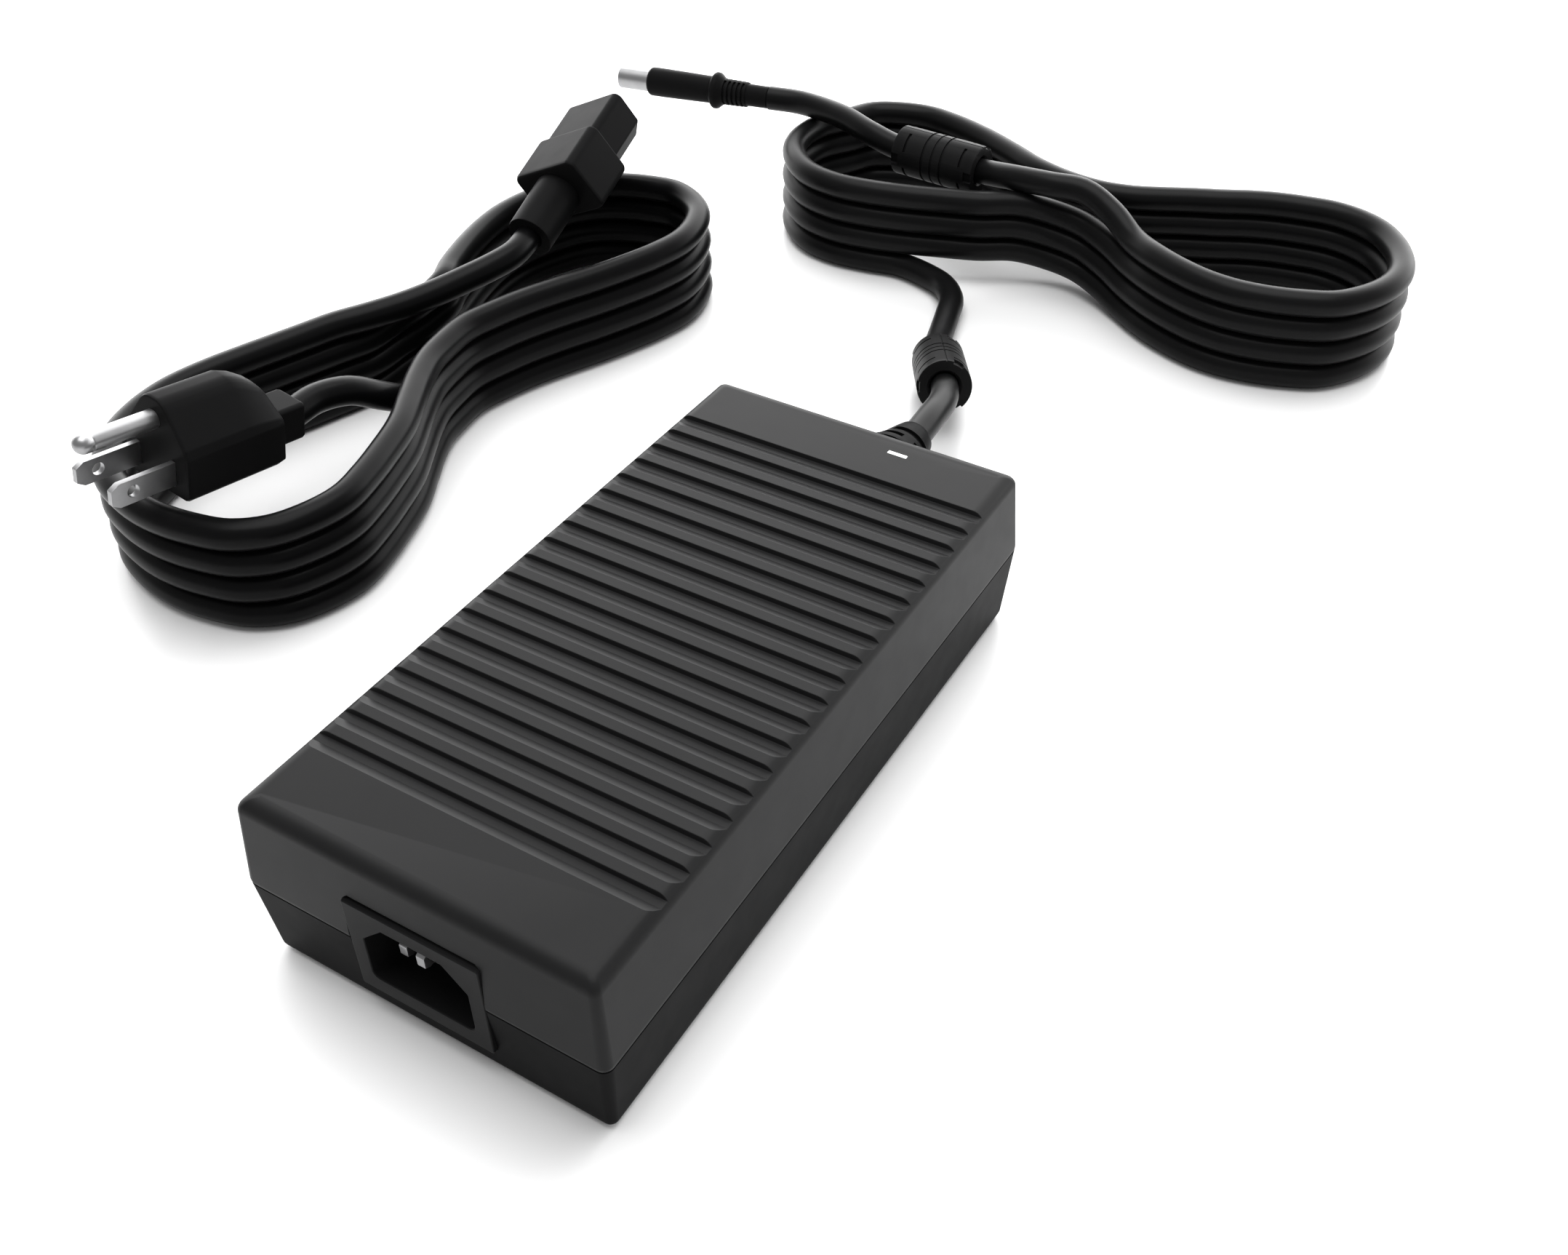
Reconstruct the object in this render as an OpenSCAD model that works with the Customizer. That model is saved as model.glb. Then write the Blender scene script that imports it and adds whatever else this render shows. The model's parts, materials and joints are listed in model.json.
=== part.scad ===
// Laptop power adapter: grooved brick with a fixed output lead and a loose mains lead.
// Origin: bottom centre of the brick, on the surface it lies on. +Y runs along the brick
// toward the output lead, +X across it, +Z up. Millimetres.

/* [Brick] */
// Width of the brick at its widest line
brick_w = 85; // [84:0.5:88]
// Length of the brick
brick_l = 171; // [170:0.5:173]
// Height of the brick
brick_h = 43.5; // [43:0.5:45]
// Height of the parting line above the table
parting_z = 21.6; // [21:0.1:22.5]
// How far each upper wall leans in at the top
top_lean = 1.4; // [0.5:0.1:2]
// How far each lower wall leans in at the table
bottom_lean = 1.5; // [0.5:0.1:2]
// Radius of the rounded upper edges
edge_r = 3; // [1.5:0.5:3]
// Radius of the rounded lower edges
foot_r = 3; // [1:0.5:3]
// Wall thickness of the covers
wall = 2.5; // [2:0.1:2.8]

/* [Top grooves] */
// Number of cross grooves
groove_count = 19; // [15:1:21]
// Spacing of the grooves
groove_pitch = 7.06; // [6.5:0.01:7.4]
// Width of the flat floor of a groove
groove_floor = 1.9; // [1.2:0.1:2.2]
// Width of the ramp that leads into a groove, on its near side
groove_ramp = 2.4; // [1.6:0.1:2.8]
// Depth of a groove
groove_d = 1.1; // [0.6:0.1:1.4]

/* [Inlet] */
// Width of the inlet cavity
cavity_w = 24.4; // [24:0.1:25]
// Height of the inlet cavity
cavity_h = 16.4; // [16:0.1:17]
// Depth of the inlet cavity
cavity_d = 16; // [15:0.5:17]
// Height of the cavity's centre above the table
cavity_z = 20.5; // [20:0.1:21]
// Size of the two cut corners, on the earth side
cavity_cut = 5.2; // [4:0.1:5.5]

/* [Output lead] */
// Diameter of the output cord
dc_cord_d = 8; // [7.8:0.1:8]
// Outer diameter of a ferrite cover
ferrite_d = 15.8; // [15:0.1:16]
// Outer diameter of the output barrel
barrel_d = 7.4; // [7.2:0.1:7.6]
// Length of the output barrel
barrel_l = 11.4; // [10.5:0.1:12]

/* [Mains lead] */
// Diameter of the mains cord
mains_cord_d = 8; // [7.8:0.1:8]
// Diameter of the earth pin
earth_d = 4.8; // [4.7:0.1:4.9]
// Spacing of the two flat blades
blade_gap = 12.7; // [12.6:0.1:12.8]

/* [Hidden] */
$fn = 64;

half_w = brick_w / 2;
half_l = brick_l / 2;
edge_steps = 5;
cover_corner = 1.8;
board_z = 6;
board_t = 1.6;
parts_z = board_z + board_t;
inner_w = brick_w - 2 * (top_lean + wall);
inner_l = brick_l - 2 * (top_lean + wall);
ceiling_z = brick_h - groove_d - wall + 0.8;
boss_x = 33;
boss_y = 70;
relief_z = 22;
relief_neck_r = 6;

// Inlet
housing_w = 31.8;
housing_z = [8, 32.5];
housing_gap = 0.9;
housing_l = 19.5;
blade_t = 2;
blade_h = 4;
earth_blade_l = 15;
live_blade_l = 12.6;
line_x = 7;
line_z = cavity_z - 1.5;
earth_z = cavity_z + 2.5;

// Light window
window_at = [13, 76.5];
window_size = [5, 1.1];

// Cords: the hanks have four layers
layers = 4;
layer_h = 8;
hank_h = layers * layer_h;
cord_r = dc_cord_d / 2;
mains_r = mains_cord_d / 2;

// Route of the output cord from the brick, through the first ferrite, down to the hank
ferrite_1_near = [-8, 149, 16];
ferrite_1_far = [-22, 174, 8];
feed_route = [
  [0, 113.5, 22], [-1, 125, 21.5], [-3, 137, 19.5], ferrite_1_near, ferrite_1_far,
  [-27.5, 185, 5], [-31, 196, 4], [-34, 206, 4], [-37, 215, 4], [-43, 222, 4], [-52, 226, 4], [-62, 228, 4]
];
// Centreline of one turn of the output hank, seen from above
output_turn = [
  [-28, 243], [-39, 237], [-50, 233], [-62, 229], [-74, 226], [-86, 225], [-98, 228], [-107, 235],
  [-113, 244], [-115, 253], [-114, 263], [-108, 274], [-103, 283], [-94, 288], [-84, 290], [-73, 288],
  [-59, 283], [-45, 276], [-32, 269], [-19, 265], [-8, 264], [2, 266], [11, 270], [19, 274], [28, 278],
  [36, 282], [44, 285], [53, 287], [62, 288], [71, 286], [78, 282], [84, 275], [88, 267], [90, 258],
  [89, 248], [84, 237], [78, 230], [70, 226], [60, 223], [50, 222], [42, 223], [33, 226], [23, 231],
  [13, 238], [3, 244], [-8, 248], [-19, 247]
];
// Route from the top layer over the crossing, through the second ferrite, to the output plug
ferrite_2_near = [-45, 249, 33];
ferrite_2_far = [-75, 251, 33];
plug_route = [
  [13, 238, 28], [3, 244, 32], [-8, 246, 36], [-19, 245, 36], [-31, 246, 35], ferrite_2_near,
  ferrite_2_far, [-89, 253, 35], [-100, 257, 36], [-111, 260, 36], [-121, 261, 36], [-132, 259, 36]
];
plug_base = [-132, 259, 36];
plug_tip = [-190, 249, 35.5];
plug_sleeve = 8.4;
plug_ribs = 9.2;
plug_collar = 4.8;
plug_grip = 24;
grip_from = plug_sleeve + plug_ribs + plug_collar;
barrel_from = grip_from + plug_grip;

// Centreline of one turn of the mains hank, seen from above
mains_turn = [
  [-155, 108], [-158, 114], [-161, 122], [-164, 132], [-166, 141], [-167, 151], [-166, 161],
  [-163, 171], [-159, 179], [-153, 185], [-146, 189], [-137, 192], [-129, 193], [-121, 190],
  [-114, 184], [-110, 176], [-108, 165], [-110, 153], [-114, 141], [-118, 131], [-123, 120],
  [-127, 110], [-130, 100], [-132, 90], [-131, 80], [-129, 71], [-125, 62], [-120, 53], [-114, 42],
  [-110, 31], [-107, 21], [-105, 10], [-107, 0], [-111, -8], [-118, -14], [-128, -17], [-140, -18],
  [-152, -16], [-162, -12], [-170, -5], [-175, 3], [-178, 12], [-179, 23], [-177, 35], [-174, 45],
  [-171, 54], [-168, 63], [-165, 72], [-162, 81], [-159, 90], [-156, 99]
];
// Route from the wall plug down to the lowest layer
wall_plug_route = [
  [-137, 27.5, 32.5], [-137, 36, 32.5], [-134, 45, 31], [-131, 53, 26], [-131, 62, 20],
  [-134, 73, 13], [-140, 84, 8], [-147, 96, 5], [-155, 108, 4]
];
// Route from the top layer to the inlet connector
connector_route = [
  [-165, 72, 28], [-160, 81, 28.2], [-154.5, 90, 29], [-150, 99, 30], [-146.5, 108, 31],
  [-143.5, 116, 32], [-141.5, 125, 33], [-143, 134.7, 34]
];
// Inlet connector: back face centre, heading, climb and roll
connector_at = [-145.4, 153.6, 39.9];
connector_turn = [17.5, -26.7, 7.5];
connector_w = 26.4;
connector_h = 18.4;
connector_l = 17.5;
mating_w = 23.8;
mating_h = 15.8;
mating_l = 17.5;
mating_cut = 4.6;
slot_w = 3;
slot_h = 5.4;
slot_d = 16;
// Wall plug: centre of its face, heading, climb and roll
wall_plug_at = [-140, -12.5, 40.4];
wall_plug_turn = [9.4, -5.2, 176];
wall_plug_l = 30;
wall_relief_l = 11;
blade_len = 17.5;
blade_wide = 6.35;
blade_thick = 1.5;
earth_len = 21;
earth_up = 11.9;

// Helpers

function unit(v) = v / norm(v);
function tangent(p, i) =
  unit(p[min(i + 1, len(p) - 1)] - p[max(i - 1, 0)]);

// Points of one ring around a route point, upright sides kept level
function ring(at, dir, r, sides) =
  let (side = unit(cross(dir, [0, 0, 1])), up = cross(side, dir))
  [for (k = [0:sides - 1]) at + r * (cos(k * 360 / sides) * side + sin(k * 360 / sides) * up)];

// A closed tube swept along a route
module tube(route, r, sides = 10) {
  rings = len(route);
  points = [for (i = [0:rings - 1]) each ring(route[i], tangent(route, i), r, sides)];
  walls = [
    for (i = [0:rings - 2], k = [0:sides - 1])
      let (n = (k + 1) % sides)
      [i * sides + k, i * sides + n, (i + 1) * sides + n, (i + 1) * sides + k]
  ];
  first = [for (k = [sides - 1:-1:0]) k];
  last = [for (k = [0:sides - 1]) (rings - 1) * sides + k];
  polyhedron(points, concat([first], walls, [last]), convexity = 6);
}

// A closed outline moved sideways by d; a positive d grows an outline drawn clockwise
function moved_outline(p, d) =
  let (n = len(p))
  [for (i = [0:n - 1])
    let (t = unit(p[(i + 1) % n] - p[(i + n - 1) % n]))
    p[i] + d * [-t[1], t[0]]];

// A hank of stacked turns: a band of the cord's width, hollow in the middle
module hank(turn, r) {
  linear_extrude(hank_h)
    difference() {
      polygon(moved_outline(turn, r));
      polygon(moved_outline(turn, -r));
    }
}

// Places children with their +Z from one point toward another
module along(start, finish, skip = 0) {
  d = finish - start;
  translate(start)
    rotate([0, acos(d[2] / norm(d)), atan2(d[1], d[0])])
      translate([0, 0, skip])
        children();
}

module ring_solid(r_out, r_in, length) {
  difference() {
    cylinder(r = r_out, h = length);
    translate([0, 0, -1])
      cylinder(r = r_in, h = length + 2);
  }
}

module box_at(centre, size) {
  translate(centre)
    cube(size, center = true);
}

// A box standing on height z
module block(x, y, z, size) {
  translate([x - size[0] / 2, y - size[1] / 2, z])
    cube(size);
}

// Half outline of the brick across one direction: leaning walls, rounded upper edge
function arc_points(cx, cz, r, from, to) =
  [for (i = [0:edge_steps])
    let (a = from + (to - from) * i / edge_steps)
    [cx + r * cos(a), cz + r * sin(a)]];

function brick_outline(half, r) =
  let (top = half - top_lean, low = half - bottom_lean)
  concat(
    arc_points(foot_r - low, foot_r, foot_r, 180, 270),
    arc_points(low - foot_r, foot_r, foot_r, 270, 360),
    [[half, parting_z + 1]],
    arc_points(top - r, brick_h - r, r, 0, 90),
    arc_points(-top + r, brick_h - r, r, 90, 180),
    [[-half, parting_z + 1]]
  );

// The brick's outer form: one outline run along Y, cut to the other run along X
module brick_form() {
  intersection() {
    rotate([90, 0, 0])
      linear_extrude(brick_l + 2, center = true)
        polygon(brick_outline(half_w, edge_r));
    rotate([90, 0, 90])
      linear_extrude(brick_w + 2, center = true)
        polygon(brick_outline(half_l, edge_r));
    linear_extrude(brick_h)
      polygon(corner_outline());
  }
}

function corner_outline() =
  let (x = half_w + 0.01, y = half_l + 0.01, c = cover_corner * 0.6)
  [[x, c - y], [x, y - c], [x - c, y], [c - x, y], [-x, y - c], [-x, c - y], [c - x, -y], [x - c, -y]];

module groove_cuts() {
  far = 1.55;
  slope = groove_d / groove_ramp;
  floor_near = far - groove_floor;
  above = 0.6;
  for (i = [0:groove_count - 1])
    translate([0, (i - (groove_count - 1) / 2) * groove_pitch, brick_h])
      rotate([90, 0, 90])
        linear_extrude(brick_w + 2, center = true)
          polygon([
            [far, above], [far, -groove_d], [floor_near, -groove_d],
            [floor_near - groove_ramp - above / slope, above]
          ]);
}

module housing_hole() {
  translate([-housing_w / 2, -half_l - 1, housing_z[0]])
    cube([housing_w, 2 * wall + 6, housing_z[1] + housing_gap - housing_z[0]]);
}

module relief_hole() {
  translate([0, half_l - 2 * wall - 2, relief_z])
    rotate([-90, 0, 0])
      cylinder(r = relief_neck_r, h = 2 * wall + 4);
}

// Brick

module bottom_cover() {
  color([0.14, 0.14, 0.15]) {
    difference() {
      intersection() {
        brick_form();
        box_at([0, 0, parting_z / 2], [2 * brick_w, 2 * brick_l, parting_z]);
      }
      block(0, 0, wall, [inner_w, inner_l, brick_h]);
      housing_hole();
      relief_hole();
    }
    for (x = [-boss_x, boss_x], y = [-boss_y, boss_y])
      translate([x, y, wall])
        cylinder(r = 3, h = board_z - wall);
  }
}

module top_cover() {
  color([0.36, 0.36, 0.37])
    difference() {
      intersection() {
        brick_form();
        box_at([0, 0, parting_z + brick_h / 2], [2 * brick_w, 2 * brick_l, brick_h]);
      }
      block(0, 0, parting_z - 1, [inner_w, inner_l, ceiling_z - parting_z + 1]);
      groove_cuts();
      housing_hole();
      relief_hole();
      block(window_at[0], window_at[1], ceiling_z - 1, [window_size[0], window_size[1], 10]);
    }
}

module light_window() {
  color([0.93, 0.95, 0.93])
    block(window_at[0], window_at[1], ceiling_z - 4,
          [window_size[0], window_size[1], brick_h - ceiling_z + 4]);
}

// Inlet

module inlet_section(width, height, cut) {
  polygon([
    [-width / 2, -height / 2], [width / 2, -height / 2], [width / 2, height / 2 - cut],
    [width / 2 - cut, height / 2], [cut - width / 2, height / 2], [-width / 2, height / 2 - cut]
  ]);
}

module inlet_housing() {
  color([0.09, 0.09, 0.1])
    difference() {
      translate([-housing_w / 2, -half_l, housing_z[0]])
        cube([housing_w, housing_l, housing_z[1] - housing_z[0]]);
      translate([0, cavity_d - half_l, cavity_z])
        rotate([90, 0, 0])
          linear_extrude(cavity_d + 1)
            inlet_section(cavity_w, cavity_h, cavity_cut);
      inlet_blade(-line_x, line_z, live_blade_l);
      inlet_blade(line_x, line_z, live_blade_l);
      inlet_blade(0, earth_z, earth_blade_l);
    }
}

// A blade with the tail that reaches the board behind the housing; the earth blade is longer
module inlet_blade(x, z, length) {
  back = housing_l - half_l + 2.5;
  translate([x - blade_t / 2, back - length - 5.5, z - blade_h / 2])
    cube([blade_t, length + 5.5, blade_h]);
  translate([x - blade_t / 2, back - 1.5, parts_z])
    cube([blade_t, 1.5, z - parts_z]);
}

module inlet_blade_line() {
  color([0.8, 0.8, 0.82])
    inlet_blade(-line_x, line_z, live_blade_l);
}

module inlet_blade_neutral() {
  color([0.8, 0.8, 0.82])
    inlet_blade(line_x, line_z, live_blade_l);
}

module inlet_blade_earth() {
  color([0.8, 0.8, 0.82])
    inlet_blade(0, earth_z, earth_blade_l);
}

// Heat spreaders and insulation

module lower_sheet(z, thick) {
  difference() {
    block(0, 0, z, [inner_w - 2, inner_l - 4, thick]);
    for (x = [-boss_x, boss_x], y = [-boss_y, boss_y])
      translate([x, y, z - 1])
        cylinder(r = 3.6, h = thick + 2);
  }
}

module lower_heat_spreader() {
  color([0.75, 0.76, 0.78])
    lower_sheet(wall, 0.8);
}

module lower_insulator() {
  color([0.85, 0.8, 0.6])
    lower_sheet(wall + 0.8, 0.5);
}

module upper_sheet(z, thick, side_gap) {
  difference() {
    block(0, 0, z, [inner_w - 2 * side_gap, inner_l - 4, thick]);
    block(window_at[0], window_at[1], z - 1, [window_size[0] + 2, window_size[1] + 2, thick + 2]);
  }
}

module upper_heat_spreader() {
  color([0.75, 0.76, 0.78]) {
    upper_sheet(ceiling_z - 0.8, 0.8, 1);
    for (side = [-1, 1])
      block(side * (inner_w / 2 - 1.4), 6, parts_z + 3, [0.8, 120, ceiling_z - 0.8 - parts_z - 3]);
  }
}

module upper_insulator() {
  color([0.85, 0.8, 0.6])
    upper_sheet(ceiling_z - 1.3, 0.5, 2.2);
}

// Board and its components

module circuit_board() {
  color([0.1, 0.32, 0.16])
    block(0, 0, board_z, [inner_w - 2, inner_l - 4, board_t]);
}

module fuse() {
  color([0.85, 0.85, 0.8])
    translate([-30, -58, parts_z + 2.6])
      rotate([-90, 0, 0])
        cylinder(r = 2.6, h = 20);
}

module film_capacitor() {
  color([0.8, 0.65, 0.15])
    block(-17, -48, parts_z, [9, 26, 17]);
}

module mode_choke() {
  color([0.6, 0.3, 0.12])
    translate([4, -47, parts_z + 14])
      rotate([90, 0, 0])
        translate([0, 0, -5])
          ring_solid(12, 5, 10);
}

module bridge_rectifier() {
  color([0.1, 0.1, 0.1])
    block(28, -50, parts_z, [5, 24, 20]);
}

module boost_choke() {
  color([0.55, 0.5, 0.3])
    block(20, -20, parts_z, [26, 24, 24]);
}

module bulk_capacitor() {
  color([0.1, 0.12, 0.35])
    translate([-21, -28, parts_z + 12.5])
      rotate([-90, 0, 0])
        cylinder(r = 12.5, h = 40);
}

module transistor() {
  color([0.1, 0.1, 0.1])
    block(10, 8, parts_z + 3, [4.6, 15, 20]);
}

module primary_heat_sink() {
  color([0.7, 0.71, 0.73])
    block(13.8, 8, parts_z, [3, 28, 27]);
}

module transformer_core() {
  color([0.2, 0.2, 0.22])
    difference() {
      block(-12, 33, parts_z, [34, 12, 28]);
      for (side = [-1, 1])
        block(side * 10.5 - 12, 33, parts_z + 5, [9, 14, 18]);
    }
}

module transformer_winding() {
  color([0.85, 0.75, 0.25])
    difference() {
      block(-12, 33, parts_z + 5.2, [29.6, 30, 17.6]);
      block(-12, 33, parts_z + 5, [12.4, 12.2, 18.2]);
      for (side = [-1, 1])
        block(side * 21 - 12, 33, parts_z + 5, [12.4, 12.2, 18.2]);
    }
}

module output_rectifier() {
  color([0.1, 0.1, 0.1])
    block(19.5, 40, parts_z + 3, [4.6, 15, 18]);
}

module secondary_heat_sink() {
  color([0.7, 0.71, 0.73])
    block(23.3, 42, parts_z, [3, 34, 26]);
}

module output_capacitor(x) {
  color([0.12, 0.1, 0.1])
    translate([x, 60, parts_z])
      cylinder(r = 5, h = 22);
}

module output_capacitor_1() {
  output_capacitor(-26);
}

module output_capacitor_2() {
  output_capacitor(-14);
}

module output_capacitor_3() {
  output_capacitor(-2);
}

module control_board() {
  color([0.1, 0.32, 0.16])
    block(-32, 30, parts_z, [1.2, 30, 22]);
}

module light_source() {
  color([0.9, 0.95, 0.9])
    block(window_at[0], window_at[1], parts_z, [3, 2, ceiling_z - 4 - parts_z]);
}

// A wire from the board up to the end of the strain relief
module output_wire(x) {
  color([0.6, 0.1, 0.1]) {
    translate([x, 74, parts_z])
      cylinder(r = 1.2, h = relief_z - parts_z);
    translate([x, 74, relief_z])
      sphere(r = 1.2);
    translate([x, 74, relief_z])
      rotate([-90, 0, 0])
        cylinder(r = 1.2, h = half_l - wall - top_lean - 76);
  }
}

module output_wire_1() {
  output_wire(-2.5);
}

module output_wire_2() {
  output_wire(2.5);
}

// Output lead

module strain_relief() {
  color([0.07, 0.07, 0.07])
    translate([0, 0, relief_z])
      rotate([-90, 0, 0])
        rotate_extrude()
          polygon([
            [0, 79.6], [8, 79.6], [8, 81.5], [relief_neck_r, 81.5], [relief_neck_r, half_l],
            [10.4, half_l], [10.2, 93], [9.3, 100], [7.4, 105], [6.2, 110], [5.2, 113.5], [0, 113.5]
          ]);
}

module feed_cord() {
  color([0.06, 0.06, 0.06])
    tube(feed_route, cord_r);
}

module ferrite_core(near, far) {
  color([0.25, 0.25, 0.26])
    along(near, far, 1.5)
      ring_solid(ferrite_d / 2 - 1.2, 4.35, norm(far - near) - 3);
}

module ferrite_cover(near, far) {
  length = norm(far - near);
  color([0.08, 0.08, 0.08])
    along(near, far)
      rotate_extrude()
        polygon([
          [4.3, 0], [ferrite_d / 2 - 0.8, 0], [ferrite_d / 2, 0.8], [ferrite_d / 2, length - 0.8],
          [ferrite_d / 2 - 0.8, length], [4.3, length], [4.3, length - 1.5],
          [ferrite_d / 2 - 1.2, length - 1.5],
          [ferrite_d / 2 - 1.2, 1.5], [4.3, 1.5]
        ]);
}

module ferrite_core_1() {
  ferrite_core(ferrite_1_near, ferrite_1_far);
}

module ferrite_cover_1() {
  ferrite_cover(ferrite_1_near, ferrite_1_far);
}

module output_hank() {
  color([0.06, 0.06, 0.06])
    hank(output_turn, cord_r);
}

module plug_cord() {
  color([0.06, 0.06, 0.06])
    tube(plug_route, cord_r);
}

module ferrite_core_2() {
  ferrite_core(ferrite_2_near, ferrite_2_far);
}

module ferrite_cover_2() {
  ferrite_cover(ferrite_2_near, ferrite_2_far);
}

module plug_relief() {
  color([0.1, 0.1, 0.1])
    along(plug_base, plug_tip)
      rotate_extrude()
        polygon([
          [0, 0], [3.7, 0], [3.9, plug_sleeve], [4.5, plug_sleeve + plug_ribs], [6.2, grip_from - 3],
          [6.2, grip_from - 1.6], [4.7, grip_from], [0, grip_from]
        ]);
}

module plug_grip() {
  color([0.1, 0.1, 0.1])
    along(plug_base, plug_tip, grip_from)
      rotate_extrude()
        polygon([[0, 0], [4.7, 0], [4.9, plug_grip - 1.2], [4.2, plug_grip], [0, plug_grip]]);
}

module plug_barrel() {
  color([0.82, 0.83, 0.85])
    along(plug_base, plug_tip, barrel_from)
      ring_solid(barrel_d / 2, barrel_d / 2 - 0.6, barrel_l);
}

module plug_insulator() {
  color([0.05, 0.05, 0.05])
    along(plug_base, plug_tip, barrel_from) {
      ring_solid(barrel_d / 2 - 0.6, 2.5, barrel_l - 0.6);
      cylinder(r = 2.5, h = 1);
    }
}

module plug_pin() {
  color([0.85, 0.78, 0.55])
    along(plug_base, plug_tip, barrel_from + 1)
      cylinder(r = 0.4, h = barrel_l - 3);
}

// Mains lead: wall plug

module at_wall_plug() {
  translate(wall_plug_at)
    rotate([0, 0, wall_plug_turn[2]])
      rotate([wall_plug_turn[0], 0, 0])
        rotate([0, wall_plug_turn[1], 0])
          children();
}

// Half of the wall plug's section: wide at the blades, narrow above the earth pin
plug_half = [[10.2, -6.6], [11.4, -5.4], [11.4, 5], [10.6, 7.4], [4.4, 16], [2.4, 17.6]];
plug_section = concat(plug_half, [for (i = [5:-1:0]) [-plug_half[i][0], plug_half[i][1]]]);

module mains_plug() {
  color([0.1, 0.1, 0.1])
    at_wall_plug()
      rotate([90, 0, 0])
        linear_extrude(wall_plug_l)
          polygon(plug_section);
}

module mains_plug_relief() {
  color([0.1, 0.1, 0.1])
    at_wall_plug()
      translate([-5.2, -wall_plug_l - wall_relief_l, -6.2])
        cube([10.4, wall_relief_l, 10.4]);
}

module wall_blade(side) {
  color([0.85, 0.86, 0.88])
    at_wall_plug()
      difference() {
        translate([side * blade_gap / 2 - blade_thick / 2, 0, 0])
          rotate([90, 0, 90])
            linear_extrude(blade_thick)
              polygon([
                [0, -blade_wide / 2], [blade_len - 2, -blade_wide / 2], [blade_len, 1.2 - blade_wide / 2],
                [blade_len, blade_wide / 2 - 1.2], [blade_len - 2, blade_wide / 2], [0, blade_wide / 2]
              ]);
        translate([side * blade_gap / 2, 11.7, 0])
          rotate([0, 90, 0])
            cylinder(r = 1.6, h = 4, center = true);
      }
}

module mains_blade_line() {
  wall_blade(-1);
}

module mains_blade_neutral() {
  wall_blade(1);
}

module mains_earth_pin() {
  color([0.85, 0.86, 0.88])
    at_wall_plug()
      translate([0, 0, earth_up])
        rotate([-90, 0, 0]) {
          cylinder(r = earth_d / 2, h = earth_len - earth_d / 2);
          translate([0, 0, earth_len - earth_d / 2])
            sphere(r = earth_d / 2);
        }
}

module mains_plug_cord() {
  color([0.05, 0.05, 0.05])
    tube(wall_plug_route, mains_r);
}

module mains_hank() {
  color([0.05, 0.05, 0.05])
    hank(mains_turn, mains_r);
}

// Mains lead: connector for the inlet

module connector_cord() {
  color([0.05, 0.05, 0.05])
    tube(connector_route, mains_r);
}

module at_connector() {
  translate(connector_at)
    rotate([0, 0, connector_turn[2]])
      rotate([connector_turn[0], 0, 0])
        rotate([0, connector_turn[1], 0])
          children();
}

module connector_relief() {
  color([0.09, 0.09, 0.09])
    at_connector()
      rotate([90, 0, 0])
        cylinder(r1 = 7.3, r2 = 7.1, h = 20);
}

module contact_place(x, z) {
  at_connector()
    translate([x, connector_l + mating_l, z])
      children();
}

module connector_slot(x, z) {
  contact_place(x, z)
    translate([-slot_w / 2, -slot_d, -slot_h / 2])
      cube([slot_w, slot_d + 1, slot_h]);
}

module connector_body() {
  color([0.08, 0.08, 0.08])
    difference() {
      at_connector() {
        translate([0, connector_l, 0])
          rotate([90, 0, 0])
            linear_extrude(connector_l)
              polygon(soft_box(connector_w, connector_h, 2));
        translate([0, connector_l + mating_l, 0])
          rotate([90, 0, 0])
            linear_extrude(mating_l)
              mirror([0, 1])
                inlet_section(mating_w, mating_h, mating_cut);
      }
      connector_slot(-line_x, 1.5);
      connector_slot(line_x, 1.5);
      connector_slot(0, -2.5);
    }
}

function soft_box(w, h, c) =
  let (x = w / 2, y = h / 2)
  [[x, c - y], [x, y - c], [x - c, y], [c - x, y], [-x, y - c], [-x, c - y], [c - x, -y], [x - c, -y]];

// A folded contact lining the far end of its slot
module contact(x, z) {
  color([0.8, 0.66, 0.35])
    contact_place(x, z)
      difference() {
        translate([-slot_w / 2, -slot_d, -slot_h / 2])
          cube([slot_w, slot_d - 2.5, slot_h]);
        translate([-blade_t / 2, 1.5 - slot_d, -slot_h])
          cube([blade_t, slot_d, 2 * slot_h]);
      }
}

module contact_line() {
  contact(-line_x, 1.5);
}

module contact_neutral() {
  contact(line_x, 1.5);
}

module contact_earth() {
  contact(0, -2.5);
}

bottom_cover();
top_cover();
light_window();
inlet_housing();
inlet_blade_line();
inlet_blade_neutral();
inlet_blade_earth();
lower_heat_spreader();
lower_insulator();
upper_heat_spreader();
upper_insulator();
circuit_board();
fuse();
film_capacitor();
mode_choke();
bridge_rectifier();
boost_choke();
bulk_capacitor();
transistor();
primary_heat_sink();
transformer_core();
transformer_winding();
output_rectifier();
secondary_heat_sink();
output_capacitor_1();
output_capacitor_2();
output_capacitor_3();
control_board();
light_source();
output_wire_1();
output_wire_2();
strain_relief();
feed_cord();
ferrite_core_1();
ferrite_cover_1();
output_hank();
plug_cord();
ferrite_core_2();
ferrite_cover_2();
plug_relief();
plug_grip();
plug_barrel();
plug_insulator();
plug_pin();
mains_plug();
mains_plug_relief();
mains_blade_line();
mains_blade_neutral();
mains_earth_pin();
mains_plug_cord();
mains_hank();
connector_cord();
connector_relief();
connector_body();
contact_line();
contact_neutral();
contact_earth();
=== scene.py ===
"""A laptop power adapter: a grooved brick with its output lead, and a loose mains lead.
Lengths are in metres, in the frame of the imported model, unless they are scaled by MM."""
import bmesh
import bpy
import json
from math import acos, atan2, ceil, cos, pi, radians, sin
from mathutils import Euler, Matrix, Vector


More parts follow.
